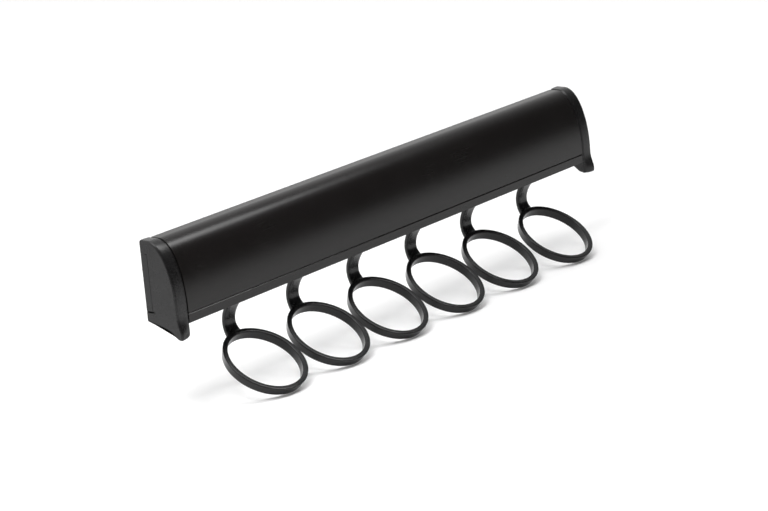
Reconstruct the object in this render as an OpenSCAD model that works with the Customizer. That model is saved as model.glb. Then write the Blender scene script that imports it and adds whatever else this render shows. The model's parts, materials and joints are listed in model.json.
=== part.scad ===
// Wall rack for billiard cues: a curved aluminium housing that hangs on a wall rail,
// closed by two moulded end caps, with six ring hangers that slide and fold.
// Axes: X runs along the rack, -Y points away from the wall, +Z is up.
// Origin: on the wall, half way between the two wall screws.

/* [Housing] */
// Length of the extruded housing between its end caps
housing_len = 333; // [330:1:600]
// Depth of the housing from the wall to its front
housing_depth = 20; // [20:0.5:22]
// Height of the housing from its top to the bottom of its lip
housing_h = 41.7; // [41:0.1:46]
// Wall thickness of the extrusion
shell = 1.8; // [1.5:0.1:2]
// Depth of the flat stretch along the housing's top, before it curves over
top_flat = 5; // [4:0.5:6]
// Height of the plain strip at the bottom of the front
lip_h = 4.8; // [4:0.1:5]

/* [End caps] */
// Thickness of an end cap outside the housing
cap_t = 8.5; // [7:0.5:10]
// How far a cap stands proud of the housing all round
cap_proud = 0.4; // [0.3:0.1:0.8]
// Radius of the rounded edge of a cap's outer face
cap_round = 1.2; // [0.8:0.1:2]
// Length of the tongues that press into the housing
tongue_len = 12; // [8:1:20]

/* [Wall rail] */
// Thickness of the rail against the wall
rail_t = 4; // [3.5:0.1:4.5]
// Height of the rail's flat web
rail_h = 29; // [28:0.5:30]
// Distance between the two wall screw holes
screw_pitch = 240; // [120:10:280]
// Diameter of a wall screw hole
screw_hole_d = 4.5; // [4:0.5:5]

/* [Hangers] */
// Inside diameter of a cue ring
ring_id = 39.6; // [36:0.1:40]
// Radial thickness of the ring band at its upper edge
ring_wall = 2.9; // [2.4:0.1:3]
// Radial thickness of the ring band at its lower edge
ring_foot = 1.7; // [1.4:0.1:2.2]
// Height of the ring band
ring_h = 5.2; // [4:0.1:6]
// Slope of a ring at rest, front edge down
ring_tilt = 32.3; // [28:0.1:35]
// Nominal distance between neighbouring hangers
hanger_pitch = 49.7; // [49:0.1:52]
// How far each hanger stands from its nominal place along the track
hanger_shift = [-1.4, -2.1, -3.2, -3.6, -3.9, -1.3]; // [-4:0.1:2]
// Width of the arm below its flare
arm_w = 8.2; // [6.5:0.1:9]
// Thickness of the arm
arm_t = 2.9; // [2.4:0.1:3.1]

/* [Hidden] */
$fn = 64;
eps = 0.01;
hangers = 6;

// End caps: the groove next to the housing, the nose's drop below the lip, how much less
// it drops on the inner side, how far its tip leans out on the outer side, and the blind
// slit in the outer face below the rail's end, which leaves a skin at the back
groove_w = 0.9;
groove_d = 0.9;
nose_drop = 6.9;
nose_droop = 0.4;
nose_lean = 2;
slit_h = 0.8;
slit_depth = 3;
slit_front_y = -5.2;
slit_skin = 0.6;
tongue_heights = [6, -8];
tongue_h = 5;
tongue_front_y = -14;
tongue_back_y = -9.6;

// Heights, measured from the wall screws up
top_z = 21;
lip_z = top_z - housing_h;
crease_z = lip_z + lip_h;
front_curve_h = 0.815 * housing_h;
front_curve_d = housing_depth - top_flat;
curve_steps = 40;
crease_d = 0.4;
lip_lean = 0.2;
lip_rise = 1.7;

// The track is a T-slot that opens downwards behind the lip
slot_y = -14.4;
slot_w = 5;
track_w = 8;
track_h = 4;
flange_t = 1.5;
track_floor_z = lip_z + lip_rise;
track_top_z = track_floor_z + flange_t + track_h;
fit_gap = 0.2;

// The pivot of each hanger hangs just below the lip
pivot_y = -12.6;
pivot_z = lip_z - 0.6;
pin_d = 2;
pin_gap = 0.05;
knuckle_r = 2.2;
knuckle_w = 9.8;
saddle_w = 12.6;
cheek_r = 2.3;
saddle_bottom_z = pivot_z - cheek_r;
saddle_back_y = -9;
stop_t = 1.2;
head_w = 14;

// Ring place, from the pivot
ring_r = ring_id / 2;
ring_out = ring_r + ring_wall;
ring_y = pivot_y - 15.8;
ring_z = pivot_z - 30.4;

// The rail hooks under the housing's top and is locked from below
rail_z = -rail_h / 2;
rail_foot_d = 8.4;
rail_foot_h = 3.2;
hook_t = 1.5;
hook_rise = 3.2;
lock_screw_x = 150;
lock_screw_d = 3;
lock_screw_y = -5.4;
lock_head_h = 1.6;

function hanger_x(i) = (i - (hangers - 1) / 2) * hanger_pitch + hanger_shift[i];

// Outline of the housing's outside from the top's back edge to the crease, grown by g
function front_curve(g) = [
  for (k = [0 : curve_steps])
    let (a = 90 * k / curve_steps)
    [-top_flat - (front_curve_d + g) * sin(a), top_z - front_curve_h + (front_curve_h + g) * cos(a)]
];

// Point at fraction t along a cubic Bezier curve
function bezier(p, t) =
  pow(1 - t, 3) * p[0] + 3 * pow(1 - t, 2) * t * p[1] + 3 * (1 - t) * t * t * p[2] + pow(t, 3) * p[3];
function bezier_run(p, steps) = [for (k = [0 : steps]) bezier(p, k / steps)];

function unit(v) = v / norm(v);
function left_of(v) = [-v[1], v[0]];

// A closed outline moved inwards by d, each point along the mean normal of its neighbours
function inset(p, d) =
  let (n = len(p))
  [
    for (k = [0 : n - 1])
      let (
        before = unit(p[k] - p[(k + n - 1) % n]),
        after = unit(p[(k + 1) % n] - p[k]),
        mid = unit(left_of(before) + left_of(after)),
        reach = d / max(0.5, mid * left_of(before))
      )
      p[k] + reach * mid
  ];

// Extrudes a side outline (drawn as Y, Z) along X, centred
module bar(length) {
  translate([-length / 2, 0, 0])
    rotate([90, 0, 90])
      linear_extrude(length)
        children();
}

module rod_x(radius, length) {
  rotate([0, 90, 0])
    cylinder(r = radius, h = length, center = true);
}

// A box from one corner to the opposite one
module block(low, high) {
  translate(low)
    cube(high - low);
}

// ---- Housing ----

// Solid side outline of the housing, with the crease above its lip
module housing_outline() {
  polygon(concat(
    [[0, track_floor_z], [0, top_z]],
    front_curve(0),
    [
      [-housing_depth, crease_z + crease_d],
      [-housing_depth + crease_d, crease_z],
      [-housing_depth, crease_z - crease_d],
      [-housing_depth + lip_lean, lip_z],
      [-housing_depth + shell, lip_z],
      [-housing_depth + shell, track_floor_z]
    ]
  ));
}

// The room above the track, open at the back where the rail goes in
module cavity_outline() {
  floor_z = track_top_z + shell;
  polygon(concat(
    [[eps, floor_z], [eps, top_z - shell], [-top_flat, top_z - shell]],
    [
      for (p = front_curve(-shell))
        if (p[1] > floor_z + shell)
          p
    ],
    [[-housing_depth + shell, floor_z + shell], [-housing_depth + shell, floor_z]]
  ));
}

// The room at the back, below the cavity, where the rail's foot sits
module back_room_outline() {
  translate([-rail_foot_d - 2 * fit_gap, track_floor_z + flange_t])
    square([rail_foot_d + 1, track_top_z + 2 * shell - track_floor_z]);
}

module track_outline() {
  translate([slot_y - track_w / 2, track_floor_z + flange_t])
    square([track_w, track_h]);
  translate([slot_y - slot_w / 2, track_floor_z - 1])
    square([slot_w, flange_t + 2]);
}

// Rib under the housing's top that hooks behind the rail
module hook_outline() {
  translate([-hook_t - 2 * fit_gap, rail_h / 2])
    square([hook_t, top_z - shell / 2 - rail_h / 2]);
}

module housing() {
  color("#232222")
    difference() {
      bar(housing_len) {
        difference() {
          housing_outline();
          cavity_outline();
          back_room_outline();
          track_outline();
        }
        hook_outline();
      }
      lock_screw_places()
        cylinder(d = lock_screw_d + 2 * fit_gap, h = 12, center = true);
    }
}

// ---- Wall rail ----

module rail_outline() {
  translate([-rail_t, rail_z])
    square([rail_t, rail_h]);
  translate([-rail_t, rail_h / 2 - 1])
    square([hook_t, hook_rise + 1]);
  translate([-rail_foot_d, rail_z])
    square([rail_foot_d, rail_foot_h]);
}

module wall_rail() {
  color("#3a3a3b")
    difference() {
      union() {
        bar(housing_len)
          rail_outline();
        bar(housing_len + 2 * cap_t)
          translate([-rail_t, rail_z])
            square([rail_t, rail_h]);
      }
      for (side = [-1, 1])
        translate([side * screw_pitch / 2, 0, 0]) {
          rotate([90, 0, 0])
            cylinder(d = screw_hole_d, h = 3 * rail_t, center = true);
          translate([0, -rail_t - eps, 0])
            rotate([-90, 0, 0])
              cylinder(d1 = 2 * screw_hole_d, d2 = screw_hole_d, h = screw_hole_d / 2);
        }
      lock_screw_places()
        cylinder(d = lock_screw_d + 0.1, h = 30, center = true);
    }
}

// ---- Lock screws ----

module lock_screw_places() {
  for (side = [-1, 1])
    translate([side * lock_screw_x, lock_screw_y, rail_z])
      children();
}

module lock_screws() {
  head_top_z = track_floor_z - rail_z;
  color("#9a9a9c")
    lock_screw_places()
      difference() {
        union() {
          translate([0, 0, head_top_z - lock_head_h])
            cylinder(d = 2 * lock_screw_d, h = lock_head_h);
          translate([0, 0, head_top_z - eps])
            cylinder(d = lock_screw_d, h = rail_foot_h - head_top_z);
        }
        translate([0, 0, head_top_z - lock_head_h - eps])
          cylinder(d = lock_screw_d * 0.7, h = lock_head_h * 0.65, $fn = 6);
      }
}

// ---- End caps ----

// Outline of a cap, drop lower along its bottom edge and reach further out at its nose:
// the housing's curve, then the nose, then the sagging bottom edge
function cap_outline(drop, reach) =
  let (
    front_y = -housing_depth - cap_proud,
    front_top = top_z - front_curve_h,
    nose_y = front_y - reach,
    nose_z = lip_z - drop
  )
  concat(
    [[0, top_z + cap_proud]],
    front_curve(cap_proud),
    bezier_run([
      [front_y, front_top - 2.5], [front_y, front_top - 7],
      [nose_y, nose_z + 5.5], [nose_y, nose_z + 2.2]
    ], 10),
    bezier_run([
      [nose_y + 0.1, nose_z + 1.2], [nose_y + 0.5, nose_z - 0.2],
      [nose_y + 2.2, nose_z - 0.5], [nose_y + 4.2, nose_z + 0.8]
    ], 8),
    bezier_run([
      [nose_y + 5.2, nose_z + 1.5], [nose_y + 9, nose_z + 4.8],
      [-8, lip_z - 1.9], [-1.2, lip_z]
    ], 12),
    [[0, lip_z + 0.5]]
  );

// Skin of a cap as rows of [X, inset, nose growth]: a groove next to the housing, a crowned
// rim and the rounded outer edge. A growth of 0 is the inner side's small nose and 1 the
// outer side's full one.
function cap_rows(t) =
  let (turn_steps = 6)
  concat(
    [[0, groove_d, 0], [groove_w, groove_d, 0.2], [groove_w + 0.7, 0.15, 0.35], [t / 2, 0, 0.8]],
    [
      for (k = [0 : turn_steps])
        let (a = 90 * k / turn_steps)
        [t - cap_round + cap_round * sin(a), cap_round * (1 - cos(a)), 1]
    ]
  );

// Solid of a cap, t thick along X, whose back edge stays flat on the wall plane
module cap_body(t) {
  rows = cap_rows(t);
  count = len(cap_outline(0, 0));
  last = len(rows) - 1;
  points = [
    for (row = rows)
      let (
        drop = nose_drop - nose_droop * (1 - row[2]),
        outline = inset(cap_outline(drop, nose_lean * row[2]), row[1])
      )
      for (k = [0 : count - 1])
        [row[0], k == 0 || k == count - 1 ? 0 : min(outline[k][0], 0), outline[k][1]]
  ];
  sides = [
    for (j = [0 : last - 1])
      for (k = [0 : count - 1])
        let (next = (k + 1) % count)
        [j * count + k, (j + 1) * count + k, (j + 1) * count + next, j * count + next]
  ];
  polyhedron(
    points = points,
    faces = concat(
      [[for (k = [0 : count - 1]) k]],
      sides,
      [[for (k = [count - 1 : -1 : 0]) last * count + k]]
    )
  );
}

// Two tongues that press into the housing's cavity, one high and one low
module cap_tongues() {
  for (z = tongue_heights)
    block([-tongue_len, tongue_front_y, z], [eps, tongue_back_y, z + tongue_h]);
}

// The right cap, standing on the housing's end at X = 0
module end_cap() {
  color("#3b3b3c")
    union() {
      difference() {
        cap_body(cap_t);
        block([-1, -rail_t - fit_gap, rail_z - fit_gap], [cap_t + 1, 1, rail_h / 2 + fit_gap]);
        block([cap_t - slit_depth, slit_front_y, rail_z - slit_h], [cap_t + 1, -slit_skin, rail_z]);
      }
      cap_tongues();
    }
}

module right_end_cap() {
  translate([housing_len / 2, 0, 0])
    end_cap();
}

module left_end_cap() {
  mirror([1, 0, 0])
    right_end_cap();
}

// ---- Hangers ----

// Runs in the track and carries one hanger between its cheeks
module slider(i) {
  head_z = track_floor_z + flange_t;
  color("#1c1c1d")
    translate([hanger_x(i), 0, 0])
      difference() {
        union() {
          block(
            [-head_w / 2, slot_y - track_w / 2 + fit_gap, head_z + fit_gap],
            [head_w / 2, slot_y + track_w / 2 - fit_gap, head_z + track_h - fit_gap]
          );
          block(
            [-saddle_w / 2, slot_y - slot_w / 2 + fit_gap, lip_z],
            [saddle_w / 2, slot_y + slot_w / 2 - fit_gap, head_z + 1]
          );
          block(
            [-saddle_w / 2, slot_y - slot_w / 2 + fit_gap, saddle_bottom_z + cheek_r],
            [saddle_w / 2, saddle_back_y, track_floor_z - fit_gap]
          );
          block(
            [-saddle_w / 2, pivot_y, saddle_bottom_z],
            [saddle_w / 2, saddle_back_y, track_floor_z - 1]
          );
          translate([0, pivot_y, pivot_z])
            rod_x(cheek_r, saddle_w);
        }
        block(
          [-knuckle_w / 2 - fit_gap, slot_y - slot_w, saddle_bottom_z - 1],
          [knuckle_w / 2 + fit_gap, saddle_back_y - stop_t, pivot_z + knuckle_r + 0.3]
        );
        block(
          [-knuckle_w / 2 - fit_gap, slot_y - slot_w, saddle_bottom_z - 1],
          [knuckle_w / 2 + fit_gap, saddle_back_y + 1, pivot_z]
        );
        translate([0, pivot_y, pivot_z])
          rod_x(pin_d / 2, saddle_w + 1);
      }
}

module pivot_pin(i) {
  color("#8d8d90")
    translate([hanger_x(i), pivot_y, pivot_z])
      rod_x(pin_d / 2, saddle_w);
}

// Centre line of the arm in (Y, Z), from the pivot round to the back of the ring
function arm_line() =
  let (
    back_y = ring_y + (ring_r + ring_wall / 2) * cos(ring_tilt),
    back_z = ring_z + (ring_r + ring_wall / 2) * sin(ring_tilt)
  )
  bezier_run([
    [pivot_y, pivot_z], [pivot_y + 3.6, pivot_z - 3.7],
    [pivot_y + 9.6, pivot_z - 12.2], [back_y, back_z]
  ], 14);

// Side outline of the arm: the centre line, arm_t thick
module arm_side() {
  line = arm_line();
  last = len(line) - 1;
  normals = [
    for (k = [0 : last])
      unit(left_of(line[min(k + 1, last)] - line[max(k - 1, 0)])) * arm_t / 2
  ];
  polygon(concat(
    [for (k = [0 : last]) line[k] + normals[k]],
    [for (k = [last : -1 : 0]) line[k] - normals[k]]
  ));
}

// Front outline of the arm (X, Z): flared into the knuckle and into the ring
module arm_front() {
  steps = 12;
  waist_drop = 9.5;
  foot_flare = 1.2;
  waist_z = pivot_z - waist_drop;
  foot_z = ring_z + ring_r * sin(ring_tilt);
  right = concat(
    [
      for (k = [0 : steps])
        let (s = k / steps)
        [arm_w / 2 + (knuckle_w - arm_w) / 2 * pow(cos(90 * s), 2), pivot_z - s * waist_drop]
    ],
    [
      for (k = [1 : steps])
        let (s = k / steps)
        [arm_w / 2 + foot_flare * pow(s, 3), waist_z + s * (foot_z - 2 - waist_z)]
    ]
  );
  polygon(concat(
    right,
    [for (k = [len(right) - 1 : -1 : 0]) [-right[k][0], right[k][1]]]
  ));
}

module arm() {
  intersection() {
    bar(2 * knuckle_w)
      arm_side();
    translate([0, ring_y + ring_r, 0])
      rotate([90, 0, 0])
        linear_extrude(2 * ring_r, center = true)
          arm_front();
  }
}

// Ring band that narrows towards its lower edge, with slightly broken edges
module ring_band() {
  edge = 0.4;
  foot_out = ring_r + ring_foot;
  rotate_extrude($fn = 96)
    polygon([
      [ring_r, -ring_h / 2 + edge], [ring_r + edge, -ring_h / 2],
      [foot_out - edge, -ring_h / 2], [foot_out, -ring_h / 2 + edge],
      [ring_out, ring_h / 2 - edge], [ring_out - edge, ring_h / 2],
      [ring_r + edge, ring_h / 2], [ring_r, ring_h / 2 - edge]
    ]);
}

module ring_hanger(i) {
  color("#19191a")
    translate([hanger_x(i), 0, 0])
      difference() {
        union() {
          difference() {
            arm();
            translate([0, ring_y, ring_z])
              rotate([ring_tilt, 0, 0])
                cylinder(r = ring_r + ring_wall / 2, h = 3 * ring_h, center = true, $fn = 96);
          }
          translate([0, ring_y, ring_z])
            rotate([ring_tilt, 0, 0])
              ring_band();
          translate([0, pivot_y, pivot_z])
            rod_x(knuckle_r, knuckle_w);
        }
        translate([0, pivot_y, pivot_z])
          rod_x(pin_d / 2 + pin_gap, knuckle_w + 1);
      }
}

housing();
wall_rail();
left_end_cap();
right_end_cap();
lock_screws();
for (i = [0 : hangers - 1]) {
  slider(i);
  pivot_pin(i);
  ring_hanger(i);
}
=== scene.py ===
import json
import math

import bmesh
import bpy
from mathutils import Matrix, Vector


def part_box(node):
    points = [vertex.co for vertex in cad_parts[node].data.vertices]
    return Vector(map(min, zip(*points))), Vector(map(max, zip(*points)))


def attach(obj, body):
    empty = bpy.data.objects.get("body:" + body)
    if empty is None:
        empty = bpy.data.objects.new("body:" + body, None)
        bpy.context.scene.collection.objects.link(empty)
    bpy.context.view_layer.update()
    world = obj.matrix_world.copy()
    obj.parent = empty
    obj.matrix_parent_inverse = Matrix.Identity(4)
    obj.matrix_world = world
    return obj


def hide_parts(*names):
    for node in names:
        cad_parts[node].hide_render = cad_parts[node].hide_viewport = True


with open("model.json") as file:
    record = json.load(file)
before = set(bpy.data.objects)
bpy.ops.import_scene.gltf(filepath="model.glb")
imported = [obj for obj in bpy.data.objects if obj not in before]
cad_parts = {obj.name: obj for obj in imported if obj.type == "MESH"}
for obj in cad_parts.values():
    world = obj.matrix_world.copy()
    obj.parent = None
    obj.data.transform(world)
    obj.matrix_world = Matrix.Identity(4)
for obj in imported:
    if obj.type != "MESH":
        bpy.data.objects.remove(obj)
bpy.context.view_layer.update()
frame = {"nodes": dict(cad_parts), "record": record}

MM = 0.001
HANGERS = range(1, 7)

# Sizes of a ring hanger in millimetres, as in the CAD model
RING_RADIUS = 19.8
RING_WALL = 2.9
RING_FOOT = 1.7
RING_HEIGHT = 5.2
RING_TILT = math.radians(32.3)
RING_FROM_PIVOT = Vector((0, -15.8, -30.4))
ARM_WIDTH = 8.2
ARM_THICKNESS = 2.9
KNUCKLE_WIDTH = 9.8
KNUCKLE_RADIUS = 2.2
BORE_RADIUS = 1.05

# How far the ring's and the knuckle's edges are rounded, in millimetres
RING_EDGE = 0.6
KNUCKLE_EDGE = [(0, 0.5), (0.15, 0.15), (0.5, 0)]

# The points that bend the arm's centre line, from the pivot, and how much each side of the
# arm grows where it meets the ring, in millimetres
ARM_BEND = [Vector((0, 3.6, -3.7)), Vector((0, 9.6, -12.2))]
ARM_SPREAD = 1.1
ARM_SWELL = 0.25

# The arm stays this share of the ring's wall away from the ring's hole
ARM_SETBACK = 0.45

# How squarely the arm's section is rounded: 1 is an ellipse, 0 a rectangle
ARM_SQUARENESS = 0.45

# How finely the hanger's parts are drawn, in steps
CORNER_STEPS = 4
RING_STEPS = 144
ARM_STEPS = 48
ARM_AROUND = 28
KNUCKLE_AROUND = 40
BORE_AROUND = 48

# How the parts grow together: the grid in millimetres and the number of smoothing passes
GRID = 0.26
SMOOTHING_PASSES = 5

# Width of the softened edges of each other CAD node, in millimetres
EDGES = {
    "housing": 0.2,
    "wall_rail": 0.25,
    "lock_screws": 0.2,
    "left_end_cap": 0.2,
    "right_end_cap": 0.2,
    **{f"slider_{n}": 0.25 for n in HANGERS},
    **{f"pivot_pin_{n}": 0.15 for n in HANGERS},
}
WELD_DISTANCE = 0.002 * MM
FLAT_ANGLE = math.radians(0.3)
EDGE_ANGLE = math.radians(25)

# Most of a noise lies within this band
NOISE_LOW = 0.3
NOISE_HIGH = 0.7

# Dust: noise features per metre, the band of noise in which a speck shows, and its colours
DUST_SCALE = 2600
DUST_LOW = 0.70
DUST_HIGH = 0.78
DUST_ON_METAL = (0.09, 0.088, 0.084)
DUST_ON_PLASTIC = (0.11, 0.11, 0.11)

# The floor, in metres: its gap below the rings at rest, its half side, and where its painted shade
# darkens it, then its painted-shade and pale colours and the strength of its faint glow
FLOOR_GAP = 0.2 * MM
FLOOR_HALF = 6.0
FLOOR_SHADE_FULL_Y = -0.8
FLOOR_SHADE_EDGE_Y = -0.3
FLOOR_PAINTED_SHADE = (0.42, 0.42, 0.42)
FLOOR_PALE = (0.93, 0.93, 0.93)
FLOOR_GLOW = 0.09
WHITE = (1.0, 1.0, 1.0, 1.0)

# The camera at the photograph's viewing angle: place in metres, sensor and lens in millimetres
CAMERA_PLACE = Vector((-1.07180, -0.91682, 0.35888))
CAMERA_FORWARD = Vector((0.73396, 0.62393, -0.26835))
CAMERA_RIGHT = Vector((0.62760, -0.77407, -0.08322))
CAMERA_SENSOR = 36.0
CAMERA_LENS = 127.73


# ---------------------------------------------------------------- small helpers for node trees

def new_material(name):
    """A new material, its node tree and its Principled shader."""
    material = bpy.data.materials.new(name)
    material.use_nodes = True
    tree = material.node_tree
    shader = next(n for n in tree.nodes if n.type == "BSDF_PRINCIPLED")
    return material, tree, shader


def place(tree, scale=(1, 1, 1)):
    """Object coordinates in metres; a scale below 1 draws a pattern out along that axis."""
    coords = tree.nodes.new("ShaderNodeTexCoord")
    mapping = tree.nodes.new("ShaderNodeMapping")
    mapping.inputs["Scale"].default_value = scale
    tree.links.new(coords.outputs["Object"], mapping.inputs["Vector"])
    return mapping.outputs["Vector"]


def noise(tree, vector, scale, detail=4.0, rough=0.55):
    """Noise from 0 to 1; scale is in features per metre."""
    node = tree.nodes.new("ShaderNodeTexNoise")
    node.inputs["Scale"].default_value = scale
    node.inputs["Detail"].default_value = detail
    node.inputs["Roughness"].default_value = rough
    tree.links.new(vector, node.inputs["Vector"])
    return node.outputs["Fac"]


def ramp(tree, value, low, high, out_low, out_high):
    """Maps value from low..high to out_low..out_high, clamped."""
    node = tree.nodes.new("ShaderNodeMapRange")
    node.inputs["From Min"].default_value = low
    node.inputs["From Max"].default_value = high
    node.inputs["To Min"].default_value = out_low
    node.inputs["To Max"].default_value = out_high
    tree.links.new(value, node.inputs["Value"])
    return node.outputs["Result"]


def spread_noise(tree, value, out_low, out_high):
    """Spreads the band where most of a noise lies over out_low..out_high."""
    return ramp(tree, value, NOISE_LOW, NOISE_HIGH, out_low, out_high)


def blend_colour(tree, factor, first, second):
    """A colour between first and second; each of them is a colour or a socket."""
    node = tree.nodes.new("ShaderNodeMix")
    node.data_type = "RGBA"
    for socket, colour in ((node.inputs[6], first), (node.inputs[7], second)):
        if isinstance(colour, tuple):
            socket.default_value = (*colour, 1.0)
        else:
            tree.links.new(colour, socket)
    tree.links.new(factor, node.inputs["Factor"])
    return node.outputs[2]


def add_values(tree, first, second):
    """The sum of two sockets."""
    node = tree.nodes.new("ShaderNodeMath")
    node.operation = "ADD"
    tree.links.new(first, node.inputs[0])
    tree.links.new(second, node.inputs[1])
    return node.outputs[0]


def add_bump(tree, shader, height, distance, strength):
    """Bump from a height of 0 to 1 that stands for the given distance in metres."""
    node = tree.nodes.new("ShaderNodeBump")
    node.inputs["Distance"].default_value = distance
    node.inputs["Strength"].default_value = strength
    tree.links.new(height, node.inputs["Height"])
    tree.links.new(node.outputs["Normal"], shader.inputs["Normal"])


def dust(tree, amount):
    """A sparse mask of fine dust specks, up to amount."""
    specks = noise(tree, place(tree), DUST_SCALE, detail=1.0)
    return ramp(tree, specks, DUST_LOW, DUST_HIGH, 0.0, amount)


# ---------------------------------------------------------------- materials

def coated_aluminium(name, dark, light):
    """Satin black coating on an extrusion: faint orange peel and lengthwise die lines."""
    material, tree, shader = new_material(name)
    cloud = noise(tree, place(tree), scale=45, detail=3.0)
    lines = noise(tree, place(tree, scale=(0.02, 1, 1)), scale=1400, detail=2.0)
    peel = noise(tree, place(tree), scale=1500, detail=3.0, rough=0.6)
    base = blend_colour(tree, cloud, dark, light)
    base = blend_colour(tree, dust(tree, amount=0.25), base, DUST_ON_METAL)
    tree.links.new(base, shader.inputs["Base Color"])
    cloud_rough = spread_noise(tree, cloud, 0.23, 0.26)
    line_rough = spread_noise(tree, lines, 0.0, 0.02)
    tree.links.new(add_values(tree, cloud_rough, line_rough), shader.inputs["Roughness"])
    peel_height = ramp(tree, peel, 0, 1, 0.0, 0.6)
    line_height = ramp(tree, lines, 0, 1, 0.0, 0.4)
    height = add_values(tree, peel_height, line_height)
    add_bump(tree, shader, height, distance=0.004 * MM, strength=0.2)
    shader.inputs["Specular IOR Level"].default_value = 0.3
    return material


def moulded_plastic(name, dark, light, roughness, grain, grain_depth):
    """Moulded black plastic with a spark-eroded grain and cloudy sheen."""
    material, tree, shader = new_material(name)
    cloud = noise(tree, place(tree), scale=120, detail=4.0)
    fine = noise(tree, place(tree), scale=grain, detail=2.0, rough=0.5)
    base = blend_colour(tree, cloud, dark, light)
    base = blend_colour(tree, dust(tree, amount=0.35), base, DUST_ON_PLASTIC)
    tree.links.new(base, shader.inputs["Base Color"])
    cloud_rough = spread_noise(tree, cloud, *roughness)
    grain_rough = spread_noise(tree, fine, -0.03, 0.04)
    tree.links.new(add_values(tree, cloud_rough, grain_rough), shader.inputs["Roughness"])
    add_bump(tree, shader, fine, distance=grain_depth, strength=0.6)
    shader.inputs["Specular IOR Level"].default_value = 0.33
    return material


def metal(name, colour, roughness, lines_scale):
    """Bare metal with fine lines, drawn out along the axes where lines_scale is small."""
    material, tree, shader = new_material(name)
    lines = noise(tree, place(tree, scale=lines_scale), scale=2500, detail=3.0)
    cloud = noise(tree, place(tree), scale=90, detail=3.0)
    darker = tuple(0.8 * c for c in colour)
    tree.links.new(blend_colour(tree, cloud, colour, darker), shader.inputs["Base Color"])
    tree.links.new(spread_noise(tree, lines, *roughness), shader.inputs["Roughness"])
    add_bump(tree, shader, lines, distance=0.008 * MM, strength=0.4)
    shader.inputs["Metallic"].default_value = 1.0
    return material


MATERIALS = {
    "housing_black": coated_aluminium(
        "housing_black",
        dark=(0.0074, 0.0064, 0.0061),
        light=(0.0102, 0.0088, 0.0084),
    ),
    "rail_black": coated_aluminium(
        "rail_black",
        dark=(0.010, 0.010, 0.0102),
        light=(0.014, 0.014, 0.0143),
    ),
    "cap_plastic": moulded_plastic(
        "cap_plastic",
        dark=(0.0085, 0.0082, 0.0083),
        light=(0.0125, 0.012, 0.0122),
        roughness=(0.24, 0.31),
        grain=2200,
        grain_depth=0.02 * MM,
    ),
    "hanger_plastic": moulded_plastic(
        "hanger_plastic",
        dark=(0.0045, 0.0045, 0.0047),
        light=(0.0070, 0.0070, 0.0074),
        roughness=(0.18, 0.25),
        grain=1500,
        grain_depth=0.006 * MM,
    ),
    "slider_plastic": moulded_plastic(
        "slider_plastic",
        dark=(0.012, 0.012, 0.012),
        light=(0.02, 0.02, 0.021),
        roughness=(0.32, 0.42),
        grain=1800,
        grain_depth=0.008 * MM,
    ),
    "pin_steel": metal(
        "pin_steel",
        colour=(0.55, 0.55, 0.56),
        roughness=(0.18, 0.3),
        lines_scale=(1, 0.1, 0.1),
    ),
    "screw_steel": metal(
        "screw_steel",
        colour=(0.5, 0.5, 0.49),
        roughness=(0.25, 0.4),
        lines_scale=(1, 1, 0.1),
    ),
}
SLOT_OF = {part["node"]: part["material_slot"] for part in frame["record"]["subparts"]}


# ---------------------------------------------------------------- CAD nodes that keep their shape

def finish_cad_node(name, edge):
    """Gives a CAD node its material, softened edges and smooth shading across its curves."""
    node = frame["nodes"][name]
    node.data.materials.clear()
    node.data.materials.append(MATERIALS[SLOT_OF[name]])
    for polygon in node.data.polygons:
        polygon.use_smooth = True
    weld = node.modifiers.new("weld", "WELD")
    weld.merge_threshold = WELD_DISTANCE
    flats = node.modifiers.new("flats", "DECIMATE")
    flats.decimate_type = "DISSOLVE"
    flats.angle_limit = FLAT_ANGLE
    bevel = node.modifiers.new("edges", "BEVEL")
    bevel.width = edge
    bevel.segments = 2
    bevel.limit_method = "ANGLE"
    bevel.angle_limit = EDGE_ANGLE
    bevel.use_clamp_overlap = True
    shading = node.modifiers.new("shading", "WEIGHTED_NORMAL")
    shading.weight = 100


# ---------------------------------------------------------------- ring hangers

def loft(rows, closed_ends=True):
    """A bmesh skinned over rows of points; every row is a closed loop of the same length."""
    mesh = bmesh.new()
    loops = [[mesh.verts.new(point) for point in row] for row in rows]
    for first, second in zip(loops, loops[1:]):
        for k in range(len(first)):
            n = (k + 1) % len(first)
            mesh.faces.new((first[k], first[n], second[n], second[k]))
    if closed_ends:
        mesh.faces.new(loops[0][::-1])
        mesh.faces.new(loops[-1])
    bmesh.ops.recalc_face_normals(mesh, faces=mesh.faces)
    return mesh


def rounded_profile():
    """Section of the ring band (radius, height): narrow at its foot, with rounded edges."""
    half = RING_HEIGHT / 2
    corners = [
        (RING_RADIUS, -half),
        (RING_RADIUS + RING_FOOT, -half),
        (RING_RADIUS + RING_WALL, half),
        (RING_RADIUS, half),
    ]
    points = []
    for k, corner in enumerate(corners):
        here = Vector(corner)
        before = (Vector(corners[k - 1]) - here).normalized()
        after = (Vector(corners[(k + 1) % len(corners)]) - here).normalized()
        for step in range(CORNER_STEPS + 1):
            t = step / CORNER_STEPS
            points.append(here + RING_EDGE * ((1 - t) ** 2 * before + t ** 2 * after))
    return points


def ring_mesh():
    """The ring in its place below the pivot, in millimetres, tilted down at its front."""
    profile = rounded_profile()
    rows = []
    for k in range(RING_STEPS):
        turn = 2 * math.pi * k / RING_STEPS
        rows.append([Vector((p.x * math.cos(turn), p.x * math.sin(turn), p.y)) for p in profile])
    mesh = loft(rows + [rows[0]], closed_ends=False)
    bmesh.ops.remove_doubles(mesh, verts=mesh.verts, dist=0.001)
    bmesh.ops.rotate(mesh, verts=mesh.verts, matrix=Matrix.Rotation(RING_TILT, 3, "X"))
    bmesh.ops.translate(mesh, verts=mesh.verts, vec=RING_FROM_PIVOT)
    return mesh


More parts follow.
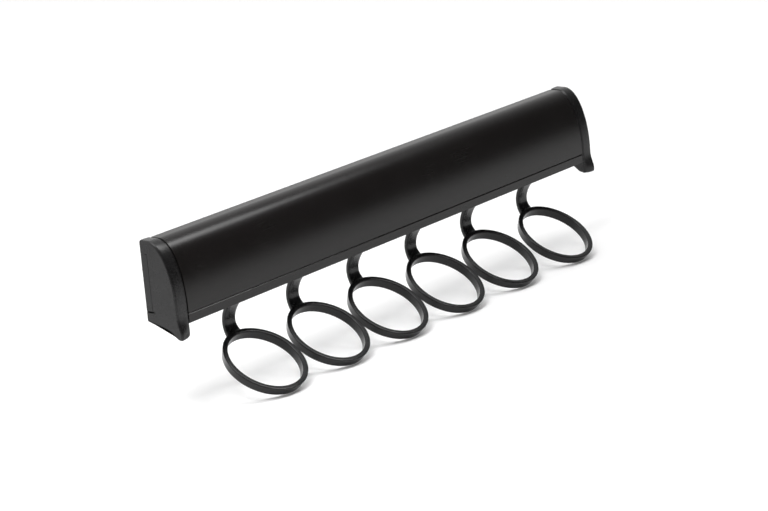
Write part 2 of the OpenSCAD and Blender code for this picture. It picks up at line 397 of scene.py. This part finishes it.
def arm_point(t):
    """Centre line of the arm from the pivot round to the back of the ring, in millimetres."""
    reach = RING_RADIUS + RING_WALL / 2
    back = RING_FROM_PIVOT + Vector((0, reach * math.cos(RING_TILT), reach * math.sin(RING_TILT)))
    controls = [Vector((0, 0, 0)), *ARM_BEND, back]
    weights = [(1 - t) ** 3, 3 * (1 - t) ** 2 * t, 3 * (1 - t) * t ** 2, t ** 3]
    return sum((w * c for w, c in zip(weights, controls)), Vector())


def growth(t, start, power):
    """Nought up to start, and from there up to one at t = 1."""
    return max(0, (t - start) / (1 - start)) ** power


def arm_half_size(t):
    """Half of the arm's width and thickness: wide at the knuckle, and growing into the ring."""
    knuckle_flare = 0.5 * (KNUCKLE_WIDTH - ARM_WIDTH) * (1 - t) ** 2.5
    ring_flare = ARM_SPREAD * growth(t, start=0.62, power=2.2)
    swell = ARM_SWELL * growth(t, start=0.7, power=2)
    return ARM_WIDTH / 2 + (knuckle_flare + ring_flare), ARM_THICKNESS / 2 + swell


def rounded_box(turn):
    """A point on the outline of a rounded square, from -1 to 1 each way."""
    return [math.copysign(abs(c) ** ARM_SQUARENESS, c) for c in (math.cos(turn), math.sin(turn))]


def arm_mesh():
    """A strap with rounded edges, waisted below the knuckle and flared where it meets the ring."""
    rows = []
    for k in range(ARM_STEPS + 1):
        t = k / ARM_STEPS
        centre = arm_point(t)
        along = (arm_point(min(t + 0.01, 1)) - arm_point(max(t - 0.01, 0))).normalized()
        across = along.cross(Vector((1, 0, 0)))
        half_width, half_depth = arm_half_size(t)
        row = []
        for j in range(ARM_AROUND):
            x, y = rounded_box(2 * math.pi * j / ARM_AROUND)
            point = centre + Vector((x * half_width, 0, 0)) + across * (y * half_depth)
            row.append(keep_out_of_hole(point))
        rows.append(row)
    return loft(rows)


def keep_out_of_hole(point):
    """Pushes a point of the arm back into the ring's wall, so that the ring's hole stays clear."""
    local = Matrix.Rotation(-RING_TILT, 3, "X") @ (point - RING_FROM_PIVOT)
    radius = math.hypot(local.x, local.y)
    least = RING_RADIUS + ARM_SETBACK * RING_WALL
    if radius < least:
        local.x *= least / radius
        local.y *= least / radius
    return Matrix.Rotation(RING_TILT, 3, "X") @ local + RING_FROM_PIVOT


def circle(x, radius, steps):
    """Points on a circle about the pivot's axis, in millimetres."""
    turns = [2 * math.pi * j / steps for j in range(steps)]
    return [Vector((x, radius * math.cos(a), radius * math.sin(a))) for a in turns]


def knuckle_mesh():
    """The round knuckle on the pivot, with softened ends."""
    half = KNUCKLE_WIDTH / 2
    section = [(inset - half, KNUCKLE_RADIUS - cut) for inset, cut in KNUCKLE_EDGE]
    section += [(half - inset, KNUCKLE_RADIUS - cut) for inset, cut in reversed(KNUCKLE_EDGE)]
    return loft([circle(x, radius, KNUCKLE_AROUND) for x, radius in section])


def bore_mesh():
    """The knuckle's bore for the pivot pin, longer than the knuckle at both ends."""
    return loft([circle(x, BORE_RADIUS, BORE_AROUND) for x in (-KNUCKLE_WIDTH, KNUCKLE_WIDTH)])


def to_object(mesh, name):
    """Turns a bmesh in millimetres into an object in metres."""
    bmesh.ops.scale(mesh, verts=mesh.verts, vec=(MM, MM, MM))
    data = bpy.data.meshes.new(name)
    mesh.to_mesh(data)
    mesh.free()
    made = bpy.data.objects.new(name, data)
    bpy.context.scene.collection.objects.link(made)
    return made


def evaluated_mesh(made, name):
    """The object's mesh with its modifiers applied; the object itself is removed."""
    bpy.context.view_layer.update()
    graph = bpy.context.evaluated_depsgraph_get()
    data = bpy.data.meshes.new_from_object(made.evaluated_get(graph))
    data.name = name
    bpy.data.objects.remove(made)
    return data


def hanger_data():
    """One moulding about its pivot: ring, arm and knuckle grown together with small fillets."""
    whole = bmesh.new()
    for part in (ring_mesh(), arm_mesh(), knuckle_mesh()):
        loose = bpy.data.meshes.new("loose")
        part.to_mesh(loose)
        part.free()
        whole.from_mesh(loose)
        bpy.data.meshes.remove(loose)
    moulding = to_object(whole, "moulding")
    remesh = moulding.modifiers.new("remesh", "REMESH")
    remesh.mode = "VOXEL"
    remesh.voxel_size = GRID * MM
    soften = moulding.modifiers.new("soften", "SMOOTH")
    soften.factor = 0.5
    soften.iterations = SMOOTHING_PASSES
    bore = to_object(bore_mesh(), "bore")
    cut = moulding.modifiers.new("bore", "BOOLEAN")
    cut.object = bore
    cut.solver = "EXACT"
    data = evaluated_mesh(moulding, "ring_hanger_moulding")
    bpy.data.objects.remove(bore)
    for polygon in data.polygons:
        polygon.use_smooth = True
    data.materials.clear()
    data.materials.append(MATERIALS["hanger_plastic"])
    return data


def hangers():
    """Six pieces from one moulding, each on its own body and in place of its CAD node."""
    data = hanger_data()
    folds = {j["name"]: j for j in frame["record"]["behaviour"]["joints"] if j["type"] == "hinge"}
    for n in HANGERS:
        piece = bpy.data.objects.new(f"hanger_moulding_{n}", data)
        piece.location = folds[f"fold_{n}"]["pos_m"]
        bpy.context.scene.collection.objects.link(piece)
        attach(piece, f"hanger_{n}")
        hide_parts(f"ring_hanger_{n}")


# ---------------------------------------------------------------- floor, light and camera

def floor(floor_z):
    """A flat white floor with painted shade that darkens its colour well in front of the object.
    """
    mesh = bpy.data.meshes.new("floor")
    corners = [
        (-FLOOR_HALF, -FLOOR_HALF, 0),
        (FLOOR_HALF, -FLOOR_HALF, 0),
        (FLOOR_HALF, FLOOR_HALF, 0),
        (-FLOOR_HALF, FLOOR_HALF, 0),
    ]
    mesh.from_pydata(corners, [], [(0, 1, 2, 3)])
    plane = bpy.data.objects.new("floor", mesh)
    plane.location.z = floor_z
    bpy.context.scene.collection.objects.link(plane)
    material, tree, shader = new_material("floor_with_painted_shade")
    split = tree.nodes.new("ShaderNodeSeparateXYZ")
    tree.links.new(place(tree), split.inputs[0])
    # Painted shade: the floor's colour goes from pale to grey towards the front, in place of real
    # shade
    painted_shade_fade = ramp(tree, split.outputs["Y"], FLOOR_SHADE_FULL_Y, FLOOR_SHADE_EDGE_Y, 0.0, 1.0)
    colour = blend_colour(tree, painted_shade_fade, FLOOR_PAINTED_SHADE, FLOOR_PALE)
    tree.links.new(colour, shader.inputs["Base Color"])
    shader.inputs["Roughness"].default_value = 0.85
    shader.inputs["Specular IOR Level"].default_value = 0.1
    shader.inputs["Emission Color"].default_value = WHITE
    shader.inputs["Emission Strength"].default_value = FLOOR_GLOW
    mesh.materials.append(material)


def area_light(name, place_at, aim_at, size, watts, spread=180):
    """A rectangular lamp; its size is in metres and its spread in degrees."""
    data = bpy.data.lights.new(name, "AREA")
    data.shape = "RECTANGLE"
    data.size, data.size_y = size
    data.energy = watts
    data.spread = math.radians(spread)
    lamp = bpy.data.objects.new(name, data)
    lamp.location = place_at
    direction = Vector(aim_at) - Vector(place_at)
    lamp.rotation_mode = "QUATERNION"
    lamp.rotation_quaternion = direction.to_track_quat("-Z", "Y")
    bpy.context.scene.collection.objects.link(lamp)


def lamps():
    """Two broad lamps at the left, above and behind, and a narrow one from the right front."""
    area_light(
        "left_top",
        place_at=(-0.7, -0.1, 1.2),
        aim_at=(-0.17, 0, 0),
        size=(0.5, 0.5),
        watts=0.8,
        spread=60,
    )
    area_light(
        "left_back",
        place_at=(-1.2, 0.8, 0.7),
        aim_at=(0, 0, 0),
        size=(0.9, 0.7),
        watts=2.5,
    )
    area_light(
        "right_front",
        place_at=(0.29, -0.22, 0.6),
        aim_at=(-0.18, 0, 0),
        size=(0.16, 0.34),
        watts=0.075,
        spread=32,
    )


def world_light():
    """A studio that is bright behind and right above the object and dim in front of it."""
    world = bpy.data.worlds.new("studio")
    bpy.context.scene.world = world
    world.use_nodes = True
    tree = world.node_tree
    background = next(n for n in tree.nodes if n.type == "BACKGROUND")
    coords = tree.nodes.new("ShaderNodeTexCoord")
    split = tree.nodes.new("ShaderNodeSeparateXYZ")
    tree.links.new(coords.outputs["Generated"], split.inputs[0])
    back = ramp(tree, split.outputs["Y"], low=-0.42, high=0.32, out_low=0.05, out_high=0.97)
    top = ramp(tree, split.outputs["Z"], low=0.75, high=1.0, out_low=0.0, out_high=1.9)
    tree.links.new(add_values(tree, back, top), background.inputs["Strength"])
    background.inputs["Color"].default_value = WHITE


def camera():
    """The camera at the photograph's viewing angle: from the left front and a little above."""
    data = bpy.data.cameras.new("camera")
    data.sensor_width = CAMERA_SENSOR
    data.lens = CAMERA_LENS
    data.clip_start = 0.05
    data.clip_end = 30.0
    eye = bpy.data.objects.new("camera", data)
    forward = CAMERA_FORWARD.normalized()
    right = (CAMERA_RIGHT - forward * CAMERA_RIGHT.dot(forward)).normalized()
    up = right.cross(forward)
    turn = Matrix((right, up, -forward)).transposed()
    eye.matrix_world = Matrix.Translation(CAMERA_PLACE) @ turn.to_4x4()
    bpy.context.scene.collection.objects.link(eye)
    bpy.context.scene.camera = eye


for cad_name, cad_edge in EDGES.items():
    finish_cad_node(cad_name, cad_edge * MM)
rings_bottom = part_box("ring_hanger_1")[0].z
hangers()
floor(rings_bottom - FLOOR_GAP)
world_light()
lamps()
camera()
bpy.context.scene.view_settings.view_transform = "Standard"
